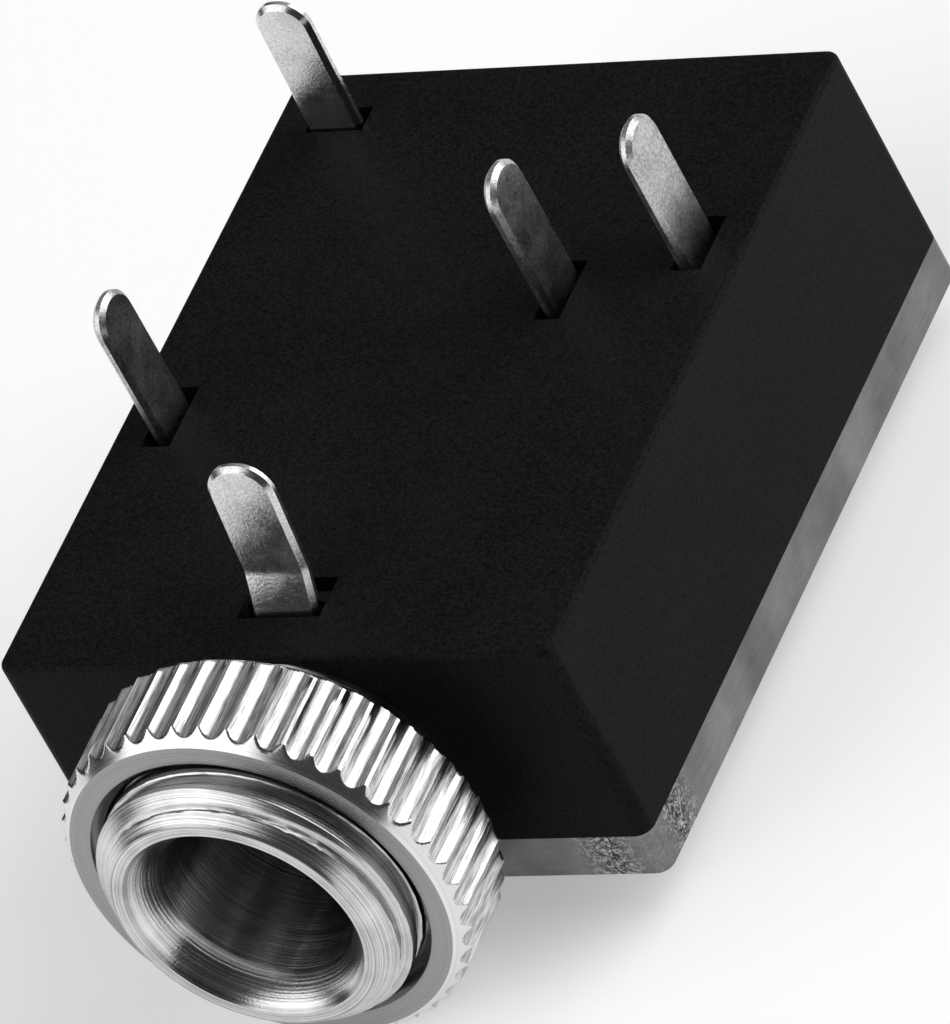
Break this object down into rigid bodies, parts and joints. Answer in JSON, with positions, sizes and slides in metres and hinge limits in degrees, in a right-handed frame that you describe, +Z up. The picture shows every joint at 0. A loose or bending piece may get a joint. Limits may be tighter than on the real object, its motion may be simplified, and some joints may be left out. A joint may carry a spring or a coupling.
{
  "type": "audio jack socket",
  "caption": "Board-mounted stereo jack socket: a plastic housing with a threaded bushing, a knurled nut, solder pins and switched spring contacts.",
  "frame": {"origin": "on the plug's axis, in the plane of the housing's front face", "axes": "+X to the right looking into the mouth, +Y from the mouth to the rear, +Z up, the way the solder pins point"},
  "size_m": [0.0116, 0.0191, 0.0094],
  "materials": {
    "housing_plastic": "black moulded, fine grain",
    "plate_metal": "nickel plated sheet",
    "bushing_metal": "nickel plated, turned",
    "nut_metal": "nickel plated, turned and knurled",
    "contact_metal": "tin plated strip"
  },
  "bodies": {
    "socket": {"housing": "housing_plastic", "cover_plate": "plate_metal", "bushing": "bushing_metal", "sleeve_terminal": "contact_metal", "tip_spring": "contact_metal", "tip_break_contact": "contact_metal", "ring_spring": "contact_metal", "ring_break_contact": "contact_metal"},
    "nut": {"nut": "nut_metal"}
  },
  "joints": [
    {"name": "nut_turn", "type": "hinge", "parent": "socket", "child": "nut", "pos_m": [0, -0.00211, 0], "axis": [0, 1, 0], "continuous": true}
  ]
}
